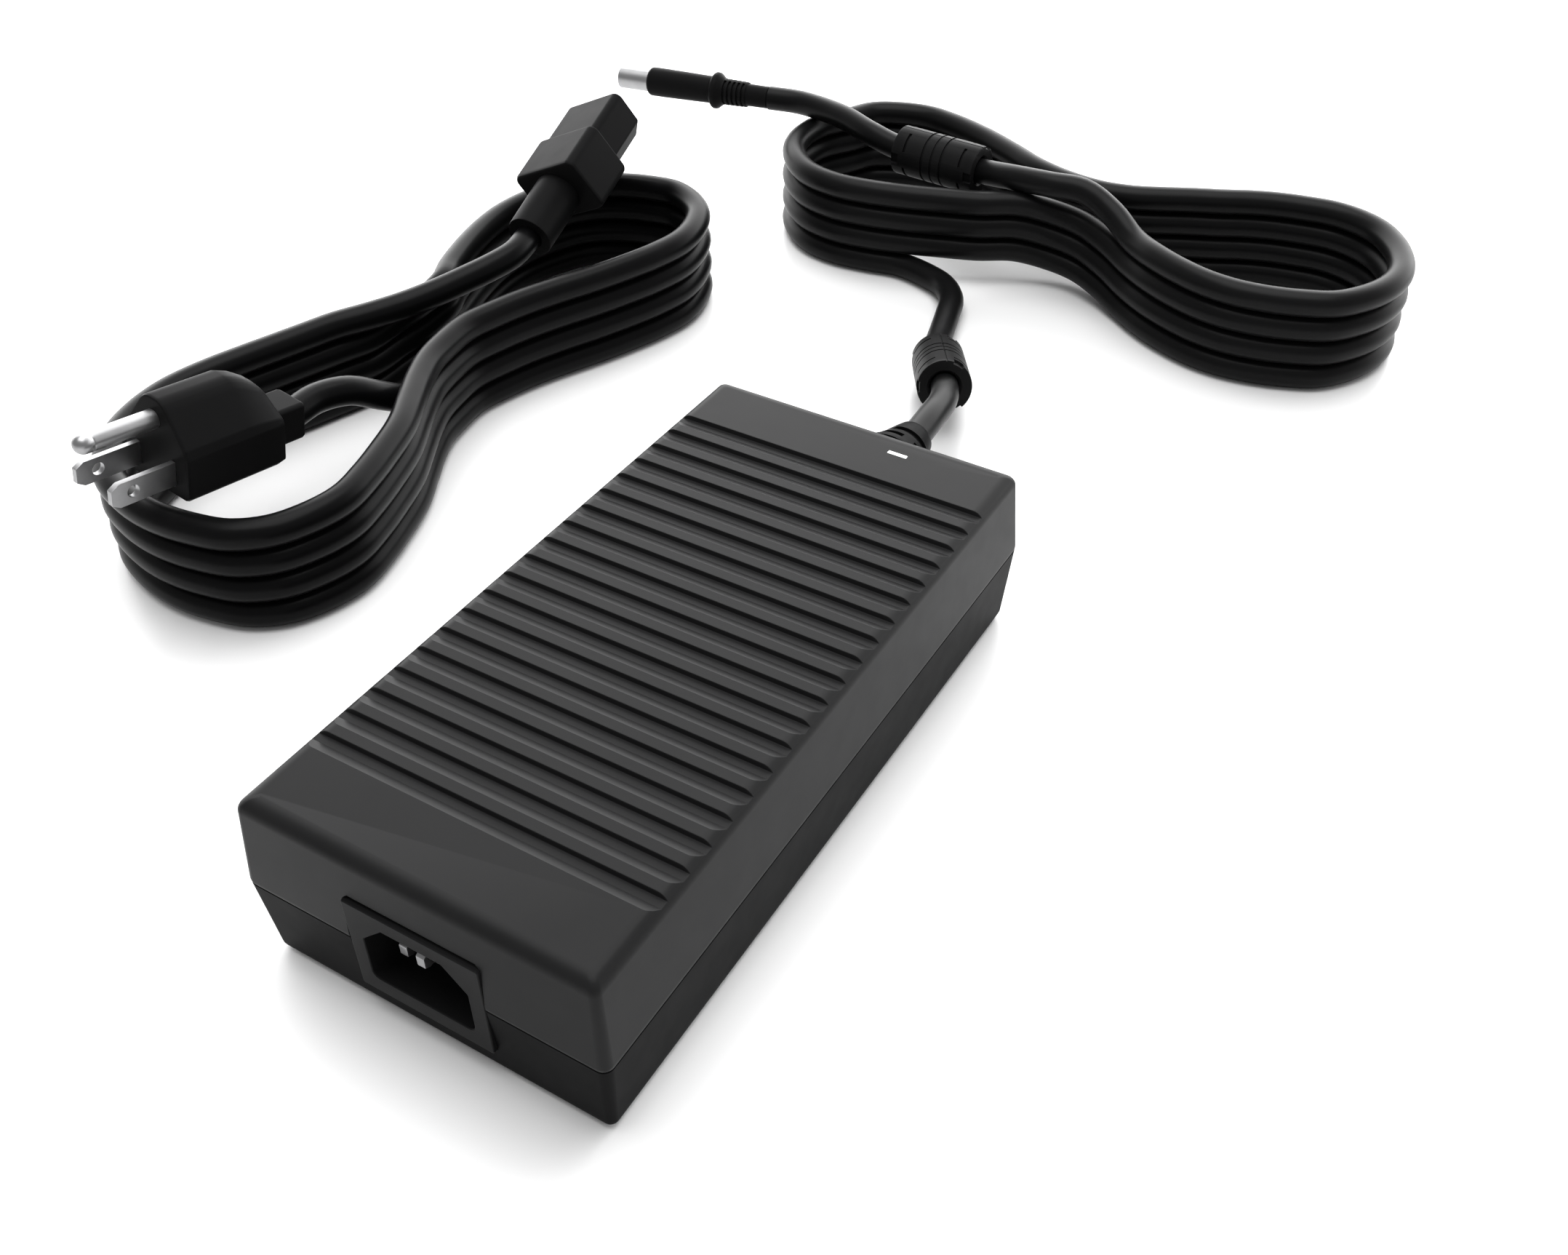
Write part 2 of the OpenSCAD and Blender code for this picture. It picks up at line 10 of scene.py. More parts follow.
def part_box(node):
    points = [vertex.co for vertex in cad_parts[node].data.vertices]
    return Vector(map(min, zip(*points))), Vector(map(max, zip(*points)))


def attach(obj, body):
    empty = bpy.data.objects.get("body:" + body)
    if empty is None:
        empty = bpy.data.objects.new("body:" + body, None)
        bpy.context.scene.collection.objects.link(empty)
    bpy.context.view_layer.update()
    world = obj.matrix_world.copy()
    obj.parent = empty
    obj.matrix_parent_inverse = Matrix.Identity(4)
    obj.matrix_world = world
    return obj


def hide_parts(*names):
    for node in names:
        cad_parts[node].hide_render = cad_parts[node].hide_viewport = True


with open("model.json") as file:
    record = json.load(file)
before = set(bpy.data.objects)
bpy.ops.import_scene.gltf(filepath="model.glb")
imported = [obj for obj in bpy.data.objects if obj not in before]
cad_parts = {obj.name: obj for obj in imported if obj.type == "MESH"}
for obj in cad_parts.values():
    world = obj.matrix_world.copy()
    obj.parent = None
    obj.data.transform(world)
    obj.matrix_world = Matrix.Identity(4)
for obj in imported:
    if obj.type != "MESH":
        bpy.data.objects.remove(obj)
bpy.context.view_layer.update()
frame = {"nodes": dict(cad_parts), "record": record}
MM = 0.001
SMOOTH_ANGLE = radians(32)
GROOVE_SMOOTH_ANGLE = radians(18)  # below the slope of the grooves' ramps


# Camera

def make_camera():
    data = bpy.data.cameras.new("camera")
    data.sensor_fit = "HORIZONTAL"
    data.sensor_width = 36
    data.lens = 35.28
    data.clip_start = 0.01
    camera = bpy.data.objects.new("camera", data)
    camera.location = (0.1435, -0.1969, 0.2523)
    camera.rotation_euler = (radians(48.89), 0, radians(30.61))
    bpy.context.scene.collection.objects.link(camera)
    bpy.context.scene.camera = camera


# Routes of the two cords, in metres

CORD_D = 0.008
LAYERS = 4
FERRITE_1 = (Vector((-0.008, 0.149, 0.016)), Vector((-0.022, 0.174, 0.008)))
FERRITE_2 = (Vector((-0.045, 0.249, 0.033)), Vector((-0.075, 0.251, 0.033)))
RELIEF_END = (0, 0.1135, 0.022)
FEED_ROUTE = [
    RELIEF_END, (-0.001, 0.125, 0.0215), (-0.003, 0.137, 0.0195), FERRITE_1[0], FERRITE_1[1],
    (-0.0275, 0.185, 0.005), (-0.031, 0.196, 0.004), (-0.034, 0.206, 0.004),
    (-0.037, 0.215, 0.004), (-0.043, 0.222, 0.004), (-0.052, 0.226, 0.004), (-0.062, 0.228, 0.004),
]
OUTPUT_TURN = [
    (-0.028, 0.243), (-0.039, 0.237), (-0.05, 0.233), (-0.062, 0.229), (-0.074, 0.226),
    (-0.086, 0.225), (-0.098, 0.228), (-0.107, 0.235), (-0.113, 0.244), (-0.115, 0.253),
    (-0.114, 0.263), (-0.108, 0.274), (-0.103, 0.283), (-0.094, 0.288), (-0.084, 0.29),
    (-0.073, 0.288), (-0.059, 0.283), (-0.045, 0.276), (-0.032, 0.269), (-0.019, 0.265),
    (-0.008, 0.264), (0.002, 0.266), (0.011, 0.27), (0.019, 0.274), (0.028, 0.278), (0.036, 0.282),
    (0.044, 0.285), (0.053, 0.287), (0.062, 0.288), (0.071, 0.286), (0.078, 0.282), (0.084, 0.275),
    (0.088, 0.267), (0.09, 0.258), (0.089, 0.248), (0.084, 0.237), (0.078, 0.23), (0.07, 0.226),
    (0.06, 0.223), (0.05, 0.222), (0.042, 0.223), (0.033, 0.226), (0.023, 0.231), (0.013, 0.238),
    (0.003, 0.244), (-0.008, 0.248), (-0.019, 0.247),
]
PLUG_ROUTE = [
    (0.013, 0.238, 0.028), (0.003, 0.244, 0.032), (-0.008, 0.246, 0.036), (-0.019, 0.245, 0.036),
    (-0.031, 0.246, 0.035), FERRITE_2[0], FERRITE_2[1], (-0.089, 0.253, 0.035),
    (-0.1, 0.257, 0.036), (-0.111, 0.26, 0.036), (-0.121, 0.261, 0.036), (-0.132, 0.259, 0.036),
]
PLUG_TIP = (-0.19, 0.249, 0.0355)
WALL_PLUG_ROUTE = [
    (-0.137, 0.0275, 0.0325), (-0.137, 0.036, 0.0325), (-0.134, 0.045, 0.031),
    (-0.131, 0.053, 0.026), (-0.131, 0.062, 0.02), (-0.134, 0.073, 0.013), (-0.14, 0.084, 0.008),
    (-0.147, 0.096, 0.005), (-0.155, 0.108, 0.004),
]
MAINS_TURN = [
    (-0.155, 0.108), (-0.158, 0.114), (-0.161, 0.122), (-0.164, 0.132), (-0.166, 0.141),
    (-0.167, 0.151), (-0.166, 0.161), (-0.163, 0.171), (-0.159, 0.179), (-0.153, 0.185),
    (-0.146, 0.189), (-0.137, 0.192), (-0.129, 0.193), (-0.121, 0.19), (-0.114, 0.184),
    (-0.11, 0.176), (-0.108, 0.165), (-0.11, 0.153), (-0.114, 0.141), (-0.118, 0.131),
    (-0.123, 0.12), (-0.127, 0.11), (-0.13, 0.1), (-0.132, 0.09), (-0.131, 0.08), (-0.129, 0.071),
    (-0.125, 0.062), (-0.12, 0.053), (-0.114, 0.042), (-0.11, 0.031), (-0.107, 0.021),
    (-0.105, 0.01), (-0.107, 0), (-0.111, -0.008), (-0.118, -0.014), (-0.128, -0.017),
    (-0.14, -0.018), (-0.152, -0.016), (-0.162, -0.012), (-0.17, -0.005), (-0.175, 0.003),
    (-0.178, 0.012), (-0.179, 0.023), (-0.177, 0.035), (-0.174, 0.045), (-0.171, 0.054),
    (-0.168, 0.063), (-0.165, 0.072), (-0.162, 0.081), (-0.159, 0.09), (-0.156, 0.099),
]
CONNECTOR_ROUTE = [
    (-0.165, 0.072, 0.028), (-0.16, 0.081, 0.0282), (-0.1545, 0.09, 0.029), (-0.15, 0.099, 0.03),
    (-0.1465, 0.108, 0.031), (-0.1435, 0.116, 0.032), (-0.1415, 0.125, 0.033),
    (-0.143, 0.1347, 0.034),
]


def hank_points(turn, first, last, climb):
    """Points of all the layers of a hank: from index first of the lowest layer to index last of
    the top one. Each layer climbs one diameter over the last `climb` steps of its turn."""
    points = []
    count = len(turn)
    for layer in range(LAYERS):
        start = first if layer == 0 else 0
        stop = last if layer == LAYERS - 1 else count - 1
        for i in range(start, stop + 1):
            risen = max(0, i - (count - climb)) / climb
            x, y = turn[i]
            points.append((x, y, CORD_D * (0.5 + layer + risen)))
    return points


def chord_tangents(points):
    """Tangent at each point, weighted so that short steps keep their direction."""
    steps = [b - a for a, b in zip(points, points[1:])]
    slopes = [s / s.length for s in steps]
    inner = []
    for i in range(1, len(points) - 1):
        before = steps[i - 1].length
        after = steps[i].length
        inner.append((slopes[i - 1] * after + slopes[i] * before) / (before + after))
    return [slopes[0]] + inner + [slopes[-1]]


def smooth_path(points, spacing=2.5 * MM):
    """A smooth curve through the points, as points about `spacing` apart."""
    points = [Vector(p) for p in points]
    tangents = chord_tangents(points)
    path = []
    for a, b, ta, tb in zip(points, points[1:], tangents, tangents[1:]):
        length = (b - a).length
        count = max(1, ceil(length / spacing))
        for i in range(count):
            t = i / count
            path.append(
                a * (2 * t**3 - 3 * t**2 + 1) + b * (3 * t**2 - 2 * t**3)
                + ta * length * (t**3 - 2 * t**2 + t) + tb * length * (t**3 - t**2)
            )
    return path + [points[-1]]


def straight_between(near, far, inset=4 * MM):
    """Two points inside a ferrite that keep the cord on its axis."""
    axis = (far - near).normalized()
    return [near + axis * inset, far - axis * inset]


def with_ferrite(route, near, far):
    at = route.index(near) + 1
    return route[:at] + straight_between(near, far) + route[at:]


def cord_curve(name, path, material):
    data = bpy.data.curves.new(name, "CURVE")
    data.dimensions = "3D"
    data.bevel_depth = CORD_D / 2
    data.bevel_resolution = 8
    data.use_fill_caps = True
    spline = data.splines.new("POLY")
    spline.points.add(len(path) - 1)
    for point, at in zip(spline.points, path):
        point.co = (*at, 1)
    spline.use_smooth = True
    data.materials.append(material)
    piece = bpy.data.objects.new(name, data)
    bpy.context.scene.collection.objects.link(piece)
    return piece


# Materials

def node_material(name):
    material = bpy.data.materials.new(name)
    material.use_nodes = True
    nodes = material.node_tree.nodes
    links = material.node_tree.links
    return material, nodes, links, nodes["Principled BSDF"]


def noise(nodes, links, place, scale, detail=3):
    texture = nodes.new("ShaderNodeTexNoise")
    texture.inputs["Scale"].default_value = scale
    texture.inputs["Detail"].default_value = detail
    links.new(place.outputs["Object"], texture.inputs["Vector"])
    return texture


def ranged(nodes, links, source, low, high):
    """The middle of a noise, spread from low to high."""
    spread = nodes.new("ShaderNodeMapRange")
    spread.inputs["From Min"].default_value = 0.3
    spread.inputs["From Max"].default_value = 0.7
    spread.inputs["To Min"].default_value = low
    spread.inputs["To Max"].default_value = high
    links.new(source, spread.inputs["Value"])
    return spread.outputs["Result"]


def tinted(nodes, links, factor, dark, light):
    mix = nodes.new("ShaderNodeMix")
    mix.data_type = "RGBA"
    mix.inputs["A"].default_value = (*dark, 1)
    mix.inputs["B"].default_value = (*light, 1)
    links.new(factor, mix.inputs["Factor"])
    return mix.outputs["Result"]


def finish_material(name, colour, roughness, grain_mm=0.25, grain=0.1, vary=0.06,
                    rough_vary=0.02, specular=0.35, wear_and_highlight=0.0):
    """A surface with mottled colour, uneven roughness and a fine grain of grain_mm. Its edges can be
    lightened, partly as handling wear and partly as a painted highlight.
    """
    material, nodes, links, shader = node_material(name)
    place = nodes.new("ShaderNodeTexCoord")
    broad = noise(nodes, links, place, scale=45, detail=4)
    fine = noise(nodes, links, place, scale=1 / (grain_mm * MM), detail=2)
    dark = [c * (1 - vary) for c in colour]
    light = [c * (1 + vary) for c in colour]
    tone = tinted(nodes, links, ranged(nodes, links, broad.outputs["Fac"], 0, 1), dark, light)
    # Edges lightened through pointiness: partly handling wear, partly a painted highlight along the
    # edges.
    if wear_and_highlight:
        tone = worn_and_highlit_edges(nodes, links, tone, [min(1, c * (1 + wear_and_highlight) + 0.01 * wear_and_highlight) for c in colour])
    links.new(tone, shader.inputs["Base Color"])
    patches = noise(nodes, links, place, scale=160)
    links.new(
        ranged(nodes, links, patches.outputs["Fac"], roughness - rough_vary, roughness + rough_vary),
        shader.inputs["Roughness"],
    )
    bump = nodes.new("ShaderNodeBump")
    bump.inputs["Strength"].default_value = grain
    bump.inputs["Distance"].default_value = 0.1 * MM
    links.new(fine.outputs["Fac"], bump.inputs["Height"])
    links.new(bump.outputs["Normal"], shader.inputs["Normal"])
    shader.inputs["Specular IOR Level"].default_value = specular
    return material


def worn_and_highlit_edges(nodes, links, tone, worn_and_highlit_tone):
    """Lightens the edges a little: partly where handling polishes the plastic, partly a painted
    highlight along the edges.
    """
    shape = nodes.new("ShaderNodeNewGeometry")
    edge = nodes.new("ShaderNodeMapRange")
    edge.inputs["From Min"].default_value = 0.52
    edge.inputs["From Max"].default_value = 0.62
    links.new(shape.outputs["Pointiness"], edge.inputs["Value"])
    mix = nodes.new("ShaderNodeMix")
    mix.data_type = "RGBA"
    links.new(edge.outputs["Result"], mix.inputs["Factor"])
    links.new(tone, mix.inputs["A"])
    mix.inputs["B"].default_value = (*worn_and_highlit_tone, 1)
    return mix.outputs["Result"]


def brushed_metal(name, colour, roughness):
    """Rolled metal: fine streaks along one direction."""
    material, nodes, links, shader = node_material(name)
    place = nodes.new("ShaderNodeTexCoord")
    stretch = nodes.new("ShaderNodeMapping")
    stretch.inputs["Scale"].default_value = (1, 0.05, 1)
    links.new(place.outputs["Object"], stretch.inputs["Vector"])
    streaks = nodes.new("ShaderNodeTexNoise")
    streaks.inputs["Scale"].default_value = 6000
    links.new(stretch.outputs["Vector"], streaks.inputs["Vector"])
    broad = noise(nodes, links, place, scale=300)
    vary = 0.1
    dark = [c * (1 - vary) for c in colour]
    links.new(
        tinted(nodes, links, ranged(nodes, links, broad.outputs["Fac"], 0, 1), dark, colour),
        shader.inputs["Base Color"],
    )
    links.new(
        ranged(nodes, links, streaks.outputs["Fac"], roughness - 0.03, roughness + 0.03),
        shader.inputs["Roughness"],
    )
    bump = nodes.new("ShaderNodeBump")
    bump.inputs["Strength"].default_value = 0.02
    bump.inputs["Distance"].default_value = 0.005 * MM
    links.new(streaks.outputs["Fac"], bump.inputs["Height"])
    links.new(bump.outputs["Normal"], shader.inputs["Normal"])
    shader.inputs["Metallic"].default_value = 1
    return material


def window_material(name):
    material = finish_material(name, (0.86, 0.88, 0.86), 0.3, grain=0.03, vary=0.03)
    shader = material.node_tree.nodes["Principled BSDF"]
    shader.inputs["Emission Color"].default_value = (0.95, 1, 0.97, 1)
    shader.inputs["Emission Strength"].default_value = 1.2
    return material


# The edge lightening set here is partly handling wear and partly a painted highlight along the edges.
MATERIALS = {
    "grey_shell": finish_material("grey_shell", (0.013, 0.013, 0.0133), 0.38, grain_mm=0.35,
                                  grain=0.06, specular=0.07, wear_and_highlight=0.4),
    "dark_shell": finish_material("dark_shell", (0.0042, 0.0042, 0.0044), 0.4, grain_mm=0.35,
                                  grain=0.06, specular=0.014, wear_and_highlight=0.4),
    "black_plastic": finish_material("black_plastic", (0.0085, 0.0085, 0.0087), 0.36, grain_mm=0.3,
                                     grain=0.06, specular=0.035, wear_and_highlight=0.3),
    "cord_output": finish_material("cord_output", (0.0048, 0.0048, 0.005), 0.36, grain_mm=0.2,
                                   grain=0.04, specular=0.1),
    "cord_mains": finish_material("cord_mains", (0.0032, 0.0032, 0.0034), 0.32, grain_mm=0.2,
                                  grain=0.03, specular=0.08),
    "soft_black": finish_material("soft_black", (0.0075, 0.0075, 0.0077), 0.4, grain_mm=0.25,
                                  grain=0.06, specular=0.02, wear_and_highlight=0.1),
    "bright_metal": brushed_metal("bright_metal", (0.36, 0.36, 0.365), 0.38),
    "contact_brass": brushed_metal("contact_brass", (0.78, 0.6, 0.3), 0.3),
    "window": window_material("window"),
    "sheet_metal": brushed_metal("sheet_metal", (0.66, 0.67, 0.69), 0.35),
    "insulation": finish_material("insulation", (0.75, 0.62, 0.36), 0.5, grain_mm=1, vary=0.06),
    "board": finish_material("board", (0.03, 0.13, 0.045), 0.35, grain_mm=0.6, vary=0.2),
    "component_black": finish_material("component_black", (0.018, 0.018, 0.018), 0.5),
    "component_yellow": finish_material("component_yellow", (0.62, 0.45, 0.05), 0.45),
    "component_blue": finish_material("component_blue", (0.02, 0.035, 0.16), 0.3),
    "copper": brushed_metal("copper", (0.72, 0.32, 0.16), 0.35),
    "ferrite": finish_material("ferrite", (0.045, 0.045, 0.05), 0.55, grain_mm=0.6, grain=0.3),
    "glass_body": finish_material("glass_body", (0.72, 0.72, 0.68), 0.2, vary=0.05),
    "wire_red": finish_material("wire_red", (0.38, 0.02, 0.02), 0.35),
}


# Mesh helpers

SMALLEST = 0.01 * MM
MERGE = 0.002 * MM


def new_piece(name, mesh_data, slot, body):
    piece = bpy.data.objects.new(name, mesh_data)
    bpy.context.scene.collection.objects.link(piece)
    mesh_data.materials.clear()
    mesh_data.materials.append(MATERIALS[slot])
    level = piece.modifiers.new("normals", "WEIGHTED_NORMAL")
    level.keep_sharp = True
    level.weight = 100
    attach(piece, body)
    return piece


def finish_mesh(name, bm, matrix=None, smooth_angle=SMOOTH_ANGLE):
    """A mesh from bm, placed by matrix, with sharp edges kept sharp and the rest smooth."""
    if matrix:
        bmesh.ops.transform(bm, matrix=matrix, verts=bm.verts)
    bmesh.ops.recalc_face_normals(bm, faces=bm.faces)
    mark_sharp(bm, smooth_angle)
    mesh_data = bpy.data.meshes.new(name)
    bm.to_mesh(mesh_data)
    bm.free()
    return mesh_data


def mark_sharp(bm, smooth_angle):
    for face in bm.faces:
        face.smooth = True
    for edge in bm.edges:
        edge.smooth = edge.is_manifold and edge.calc_face_angle(0) < smooth_angle


def skin_rings(bm, rings, closed_path=False):
    """Faces between rings of points, each ring closed on itself, with a cap on both ends. On a
    closed path the last ring joins the first instead."""
    made = [[bm.verts.new(p) for p in ring] for ring in rings]
    pairs = list(zip(made, made[1:]))
    if closed_path:
        pairs.append((made[-1], made[0]))
    for near, far in pairs:
        count = len(near)
        for i in range(count):
            j = (i + 1) % count
            bm.faces.new((near[i], near[j], far[j], far[i]))
    if not closed_path:
        bm.faces.new(reversed(made[0]))
        bm.faces.new(made[-1])
    return bm


def rounded_outline(corners, radii, steps=6):
    """A closed 2-D outline with each corner turned into an arc of its own radius."""
    points = []
    count = len(corners)
    for i in range(count):
        here = Vector(corners[i])
        before = (Vector(corners[i - 1]) - here).normalized()
        after = (Vector(corners[(i + 1) % count]) - here).normalized()
        half = before.angle(after) / 2
        slope = abs(sin(half) / cos(half))
        radius = max(radii[i], SMALLEST)
        centre = here + (before + after).normalized() * radius / sin(half)
        first = here + before * radius / slope - centre
        last = here + after * radius / slope - centre
        sweep = first.angle_signed(last)
        for k in range(steps + 1):
            turn = -sweep * k / steps
            points.append(centre + Vector((
                first.x * cos(turn) - first.y * sin(turn),
                first.x * sin(turn) + first.y * cos(turn),
            )))
    return points


def rectangle(half_x, half_y, centre=(0, 0)):
    x, y = centre
    return [
        (x - half_x, y - half_y), (x + half_x, y - half_y),
        (x + half_x, y + half_y), (x - half_x, y + half_y),
    ]


def arc(centre, radius, start, stop, steps=8):
    """Points of an arc, angles in degrees."""
    points = []
    for k in range(steps + 1):
        angle = radians(start + (stop - start) * k / steps)
        points.append((centre[0] + radius * cos(angle), centre[1] + radius * sin(angle)))
    return points


def along(start, finish, skip=0):
    """Places a shape with its +Z from one point toward another."""
    start = Vector(start)
    direction = (Vector(finish) - start).normalized()
    lean = Euler((0, acos(direction.z), atan2(direction.y, direction.x))).to_matrix().to_4x4()
    return Matrix.Translation(start) @ lean @ Matrix.Translation((0, 0, skip))


def turned(at, climb, roll, heading):
    """Places a shape whose +Y is its length: rolled about it, climbing, then headed."""
    return (
        Matrix.Translation(at) @ Matrix.Rotation(radians(heading), 4, "Z")
        @ Matrix.Rotation(radians(climb), 4, "X") @ Matrix.Rotation(radians(roll), 4, "Y")
    )


def temporary(name, bm):
    bmesh.ops.recalc_face_normals(bm, faces=bm.faces)
    mesh_data = bpy.data.meshes.new(name)
    bm.to_mesh(mesh_data)
    bm.free()
    piece = bpy.data.objects.new(name, mesh_data)
    bpy.context.scene.collection.objects.link(piece)
    return piece


def evaluated_bmesh(piece):
    """The piece's mesh with its modifiers, and the piece itself removed."""
    graph = bpy.context.evaluated_depsgraph_get()
    bm = bmesh.new()
    bm.from_object(piece, graph)
    mesh_data = piece.data
    bpy.data.objects.remove(piece)
    bpy.data.meshes.remove(mesh_data)
    return bm


def carve(bm, cutters, operation="DIFFERENCE"):
    """bm with the cutters taken away from it, or joined to it."""
    body = temporary("carved", bm)
    tools = []
    for cutter in cutters:
        tool = temporary("cutter", cutter)
        modifier = body.modifiers.new("cut", "BOOLEAN")
        modifier.operation = operation
        modifier.solver = "EXACT"
        modifier.object = tool
        tools.append(tool)
    result = evaluated_bmesh(body)
    for tool in tools:
        bpy.data.objects.remove(tool)
    bmesh.ops.remove_doubles(result, verts=result.verts, dist=MERGE)
    return result


def softened(bm, width, angle=40, segments=2):
    """bm with its sharp edges rounded to about `width`."""
    body = temporary("softened", bm)
    modifier = body.modifiers.new("edges", "BEVEL")
    modifier.width = width
    modifier.segments = segments
    modifier.angle_limit = radians(angle)
    modifier.limit_method = "ANGLE"
    return evaluated_bmesh(body)


def box_bm(low, high):
    bm = bmesh.new()
    (x0, y0, z0), (x1, y1, z1) = low, high
    rings = [[(x0, y0, z), (x1, y0, z), (x1, y1, z), (x0, y1, z)] for z in (z0, z1)]
    return skin_rings(bm, rings)


def prism_bm(outline, z0, z1):
    bm = bmesh.new()
    return skin_rings(bm, [[(p[0], p[1], z) for p in outline] for z in (z0, z1)])


# Half the width of a pocket's sloping sides: in metres along the axis, in degrees round it
EDGE = 0.03 * MM
EDGE_ANGLE = 0.4


def lathe(profile, segments=72, pockets=(), closed=False):
    """A turned shape: profile is (radius, z) pairs. Each pocket is (z0, z1, start, stop, depth):
    a recess between two heights and two angles, in degrees, in the outer surface."""
    stations = pocketed_profile(profile, pockets)
    angles = pocketed_angles(segments, pockets)
    rings = []
    for radius, z, outer in stations:
        ring = []
        for angle in angles:
            inset = pocket_depth(pockets, z, angle) if outer else 0
            reach = max(radius - inset, 2 * SMALLEST)
            ring.append((reach * cos(radians(angle)), reach * sin(radians(angle)), z))
        rings.append(ring)
    return skin_rings(bmesh.new(), rings, closed)


def pocketed_profile(profile, pockets):
    """The profile with a station at each side of every pocket. A pocket cuts only the stretches
    that run up the outside, never the bore."""
    heights = set()
    for z0, z1, *_ in pockets:
        heights.update((z0 - EDGE, z0 + EDGE, z1 - EDGE, z1 + EDGE))
    stations = []
    for (r0, z0), (r1, z1) in zip(profile, profile[1:]):
        outer = z1 > z0
        stations.append((r0, z0, outer))
        if outer:
            for z in sorted(h for h in heights if z0 < h < z1):
                stations.append((r0 + (r1 - r0) * (z - z0) / (z1 - z0), z, True))
    stations.append((*profile[-1], False))
    return stations


def pocketed_angles(segments, pockets):
    angles = {360 * k / segments for k in range(segments)}
    for _, _, start, stop, _ in pockets:
        if stop - start < 360:
            for edge in (start, stop):
                angles.update(((edge - EDGE_ANGLE) % 360, (edge + EDGE_ANGLE) % 360))
    return sorted(angles)


def pocket_depth(pockets, z, angle):
    deepest = 0
    for z0, z1, start, stop, depth in pockets:
        if z0 < z < z1 and (stop - start >= 360 or (angle - start) % 360 < stop - start):
            deepest = max(deepest, depth)
    return deepest


# Sizes shared with the CAD model

BRICK_HALF_W, BRICK_HALF_L, BRICK_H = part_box("top_cover")[1]
PARTING_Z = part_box("top_cover")[0][2]
TOP_LEAN = 1.4 * MM
BOTTOM_LEAN = 1.5 * MM
EDGE_R = 3 * MM
WALL = 2.5 * MM
GROOVES = 19
GROOVE_PITCH = 7.06 * MM
GROOVE_FAR = 1.55 * MM
GROOVE_FLOOR = 1.9 * MM
GROOVE_RAMP = 2.4 * MM
GROOVE_D = 1.1 * MM
INLET_LOW, INLET_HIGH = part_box("inlet_housing")
CAVITY_W = 24.4 * MM
CAVITY_H = 16.4 * MM
CAVITY_D = 16 * MM
CAVITY_Z = 20.5 * MM
CAVITY_CUT = 5.2 * MM
RELIEF_Z = 22 * MM
RELIEF_NECK_R = 6 * MM
LINE_X = 7 * MM
SHELL_SOFT = 0.12 * MM


# Brick

def brick_ring(inset, z, corner):
    outline = rounded_outline(
        rectangle(BRICK_HALF_W - inset, BRICK_HALF_L - inset), [corner] * 4, steps=7
    )
    return [(p.x, p.y, z) for p in outline]


def corner_radius(inset):
    """The upright corners sharpen as the faces lean in over the edges."""
    return max(1 * MM, 2.2 * MM - 0.3 * inset)


def wall_inset(z):
    """How far the wall leans in at height z, from the kink above the parting line."""
    kink = PARTING_Z + 1 * MM
    if z < kink:
        return BOTTOM_LEAN * (kink - z) / (kink - EDGE_R)
    return TOP_LEAN * (z - kink) / (BRICK_H - EDGE_R - kink)


def shell_bm(stations):
    return skin_rings(
        bmesh.new(), [brick_ring(inset, z, corner_radius(inset)) for inset, z in stations]
    )


def housing_cutter():
    """The opening for the inlet housing: cut corners at the top, and a gap above the housing."""
    gap = 0.9 * MM
    side = 0.06 * MM
    cut = 1.2 * MM
    depth = 11 * MM
    x = INLET_HIGH[0] + side
    top = INLET_HIGH[2] + gap
    outline = [
        (-x, INLET_LOW[2]), (x, INLET_LOW[2]), (x, top - cut),
        (x - cut, top), (cut - x, top), (-x, top - cut),
    ]
    bm = prism_bm(outline, -BRICK_HALF_L - 1 * MM, -BRICK_HALF_L + depth)
    swap = Matrix(((1, 0, 0, 0), (0, 0, 1, 0), (0, 1, 0, 0), (0, 0, 0, 1)))
    bmesh.ops.transform(bm, matrix=swap, verts=bm.verts)
    return bm


def hollow_bm(low, high):
    """The space inside the covers, between two heights."""
    inner = TOP_LEAN + WALL
    x = BRICK_HALF_W - inner
    y = BRICK_HALF_L - inner
    return box_bm((-x, -y, low), (x, y, high))


def relief_cutter():
    """The hole for the strain relief's neck."""
    length = 12 * MM
    depth = 9 * MM
    bm = lathe([(RELIEF_NECK_R, 0), (RELIEF_NECK_R, length)], 48)
    at = Matrix.Translation((0, BRICK_HALF_L - depth, RELIEF_Z)) @ Matrix.Rotation(-pi / 2, 4, "X")
    bmesh.ops.transform(bm, matrix=at, verts=bm.verts)
    return bm


def groove_cutters():
    """Cross grooves that run out through both long edges: a steep far wall, a flat floor and a
    ramp up to the near side."""
    bm = bmesh.new()
    reach = BRICK_HALF_W + 1 * MM
    floor = BRICK_H - GROOVE_D
    above = 0.55 * MM
    draft = 0.3 * MM
    slope = GROOVE_D / GROOVE_RAMP
    for i in range(GROOVES):
        y = (i - (GROOVES - 1) / 2) * GROOVE_PITCH
        far = y + GROOVE_FAR
        near = far - GROOVE_FLOOR
        section = [
            (near - GROOVE_RAMP - above / slope, BRICK_H + above), (near, floor), (far, floor),
            (far + draft, BRICK_H), (far + draft, BRICK_H + above),
        ]
        skin_rings(bm, [[(x, *p) for p in section] for x in (-reach, reach)])
    return bm


def bottom_shell():
    """Lower cover, with a rounded foot and a small chamfer at the seam."""
    foot = [(BOTTOM_LEAN + EDGE_R - x, EDGE_R + z) for x, z in arc((0, 0), EDGE_R, 270, 360)]
    top = wall_inset(PARTING_Z)
    seam = 0.3 * MM
    bm = shell_bm(foot + [(top, PARTING_Z - seam), (top + seam, PARTING_Z)])
    bm = carve(bm, [hollow_bm(WALL, BRICK_H), housing_cutter(), relief_cutter()])
    bm = softened(bm, SHELL_SOFT)
    piece = new_piece("bottom_shell", finish_mesh("bottom_shell", bm), "dark_shell", "adapter")
    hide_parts("bottom_cover")


